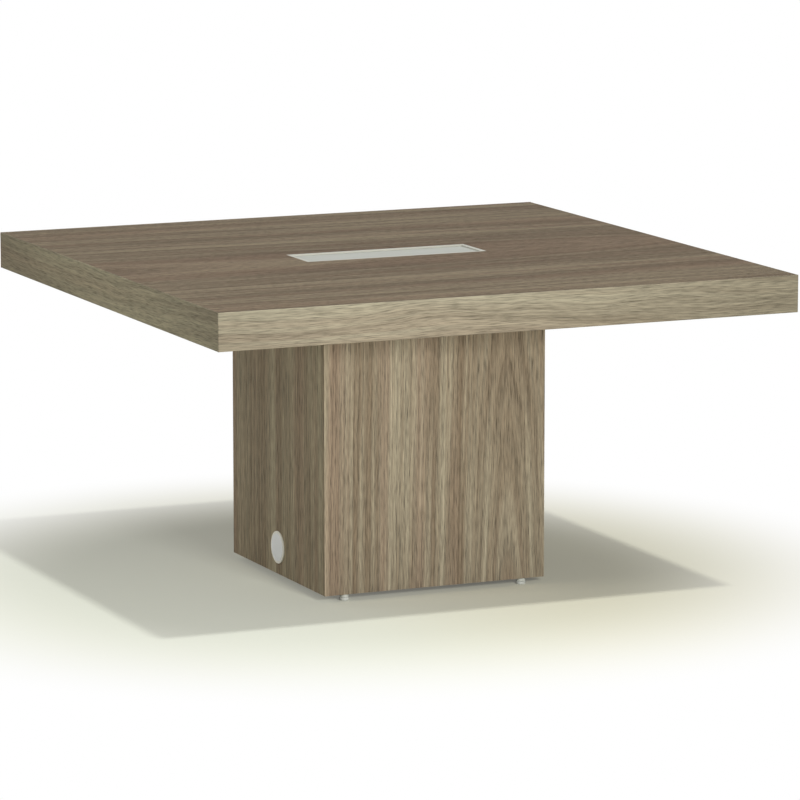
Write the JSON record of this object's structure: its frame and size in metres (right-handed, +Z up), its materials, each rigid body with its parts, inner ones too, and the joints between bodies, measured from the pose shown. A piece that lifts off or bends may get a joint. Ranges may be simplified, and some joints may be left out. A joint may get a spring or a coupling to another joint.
{
  "type": "square table",
  "caption": "Square meeting table: thick wood-decor worktop on a central box pedestal, with a hinged cable flap in the top, a capped cable grommet and screw levelling feet.",
  "frame": {"origin": "centre of the footprint on the floor, under the worktop's centre", "axes": "+Z up; +X along the long side of the cable flap, to the right seen from the front; +Y to the back, so the grommet is on the -X face"},
  "size_m": [1.4, 1.4, 0.75],
  "materials": {
    "top_decor": "matt wood-grain decor, grain along X",
    "under_decor": "matt plain decor",
    "edge_decor_long": "matt wood-grain edge band, grain along X",
    "edge_decor_side": "matt wood-grain edge band, grain along Y",
    "panel_decor": "matt wood-grain decor, grain upright",
    "raw_wood": "bare timber",
    "coated_steel": "grey powder coat",
    "zinc_steel": "zinc plated",
    "flap_rim": "pale satin coat",
    "flap_lid": "satin silver",
    "bumper_rubber": "matt",
    "blank_plastic": "fine texture",
    "grommet_plastic": "satin",
    "cap_plastic": "satin",
    "foot_plastic": "natural nylon"
  },
  "bodies": {
    "table": {"top_skin": "top_decor", "bottom_skin": "under_decor", "rail_front": "raw_wood", "rail_back": "raw_wood", "rail_left": "raw_wood", "rail_right": "raw_wood", "header_front": "raw_wood", "header_back": "raw_wood", "trimmer_front": "raw_wood", "trimmer_back": "raw_wood", "cross_rail_left": "raw_wood", "cross_rail_right": "raw_wood", "edge_band_front": "edge_decor_long", "edge_band_right": "edge_decor_side", "edge_band_back": "edge_decor_long", "edge_band_left": "edge_decor_side", "front_panel": "panel_decor", "right_panel": "panel_decor", "back_panel": "panel_decor", "left_panel": "panel_decor", "corner_post_1": "raw_wood", "corner_post_2": "raw_wood", "corner_post_3": "raw_wood", "corner_post_4": "raw_wood", "post_screws": "zinc_steel", "angle_front": "coated_steel", "angle_right": "coated_steel", "angle_back": "coated_steel", "angle_left": "coated_steel", "panel_screws": "zinc_steel", "top_screws": "zinc_steel", "flap_frame": "flap_rim", "hinge_pins": "zinc_steel", "lid_bumpers": "bumper_rubber", "cable_tray": "coated_steel", "frame_screws": "zinc_steel", "outlet_plate": "coated_steel", "outlet_blanks": "blank_plastic", "grommet_sleeve": "grommet_plastic", "leveller_bushes": "zinc_steel"},
    "lid": {"flap_lid": "flap_lid"},
    "cap": {"grommet_cap": "cap_plastic"},
    "foot_1": {"leveller_pad_1": "foot_plastic"},
    "screw_1": {"leveller_stud_1": "zinc_steel", "leveller_knob_1": "foot_plastic"},
    "foot_2": {"leveller_pad_2": "foot_plastic"},
    "screw_2": {"leveller_stud_2": "zinc_steel", "leveller_knob_2": "foot_plastic"},
    "foot_3": {"leveller_pad_3": "foot_plastic"},
    "screw_3": {"leveller_stud_3": "zinc_steel", "leveller_knob_3": "foot_plastic"},
    "foot_4": {"leveller_pad_4": "foot_plastic"},
    "screw_4": {"leveller_stud_4": "zinc_steel", "leveller_knob_4": "foot_plastic"}
  },
  "joints": [
    {"name": "lid_hinge", "type": "hinge", "parent": "table", "child": "lid", "pos_m": [0, 0.0494, 0.743], "axis": [-1, 0, 0], "range_deg": [0, 100]},
    {"name": "cap_pull", "type": "slide", "parent": "table", "child": "cap", "axis": [-1, 0, 0], "range_m": [0, 0.04]},
    {"name": "foot_1_lift", "type": "slide", "parent": "table", "child": "foot_1", "axis": [0, 0, -1], "range_m": [0, 0.02]},
    {"name": "foot_1_turn", "type": "hinge", "parent": "foot_1", "child": "screw_1", "pos_m": [-0.222, -0.2625, 0], "axis": [0, 0, -1], "range_deg": [0, 5765]},
    {"name": "foot_2_lift", "type": "slide", "parent": "table", "child": "foot_2", "axis": [0, 0, -1], "range_m": [0, 0.02]},
    {"name": "foot_2_turn", "type": "hinge", "parent": "foot_2", "child": "screw_2", "pos_m": [0.222, -0.2625, 0], "axis": [0, 0, -1], "range_deg": [0, 5765]},
    {"name": "foot_3_lift", "type": "slide", "parent": "table", "child": "foot_3", "axis": [0, 0, -1], "range_m": [0, 0.02]},
    {"name": "foot_3_turn", "type": "hinge", "parent": "foot_3", "child": "screw_3", "pos_m": [0.222, 0.2625, 0], "axis": [0, 0, -1], "range_deg": [0, 5765]},
    {"name": "foot_4_lift", "type": "slide", "parent": "table", "child": "foot_4", "axis": [0, 0, -1], "range_m": [0, 0.02]},
    {"name": "foot_4_turn", "type": "hinge", "parent": "foot_4", "child": "screw_4", "pos_m": [-0.222, 0.2625, 0], "axis": [0, 0, -1], "range_deg": [0, 5765]}
  ],
  "couplings": [
    {"joint": "foot_1_turn", "follows": "foot_1_lift", "rad_per_m": 5026.5},
    {"joint": "foot_2_turn", "follows": "foot_2_lift", "rad_per_m": 5026.5},
    {"joint": "foot_3_turn", "follows": "foot_3_lift", "rad_per_m": 5026.5},
    {"joint": "foot_4_turn", "follows": "foot_4_lift", "rad_per_m": 5026.5}
  ]
}
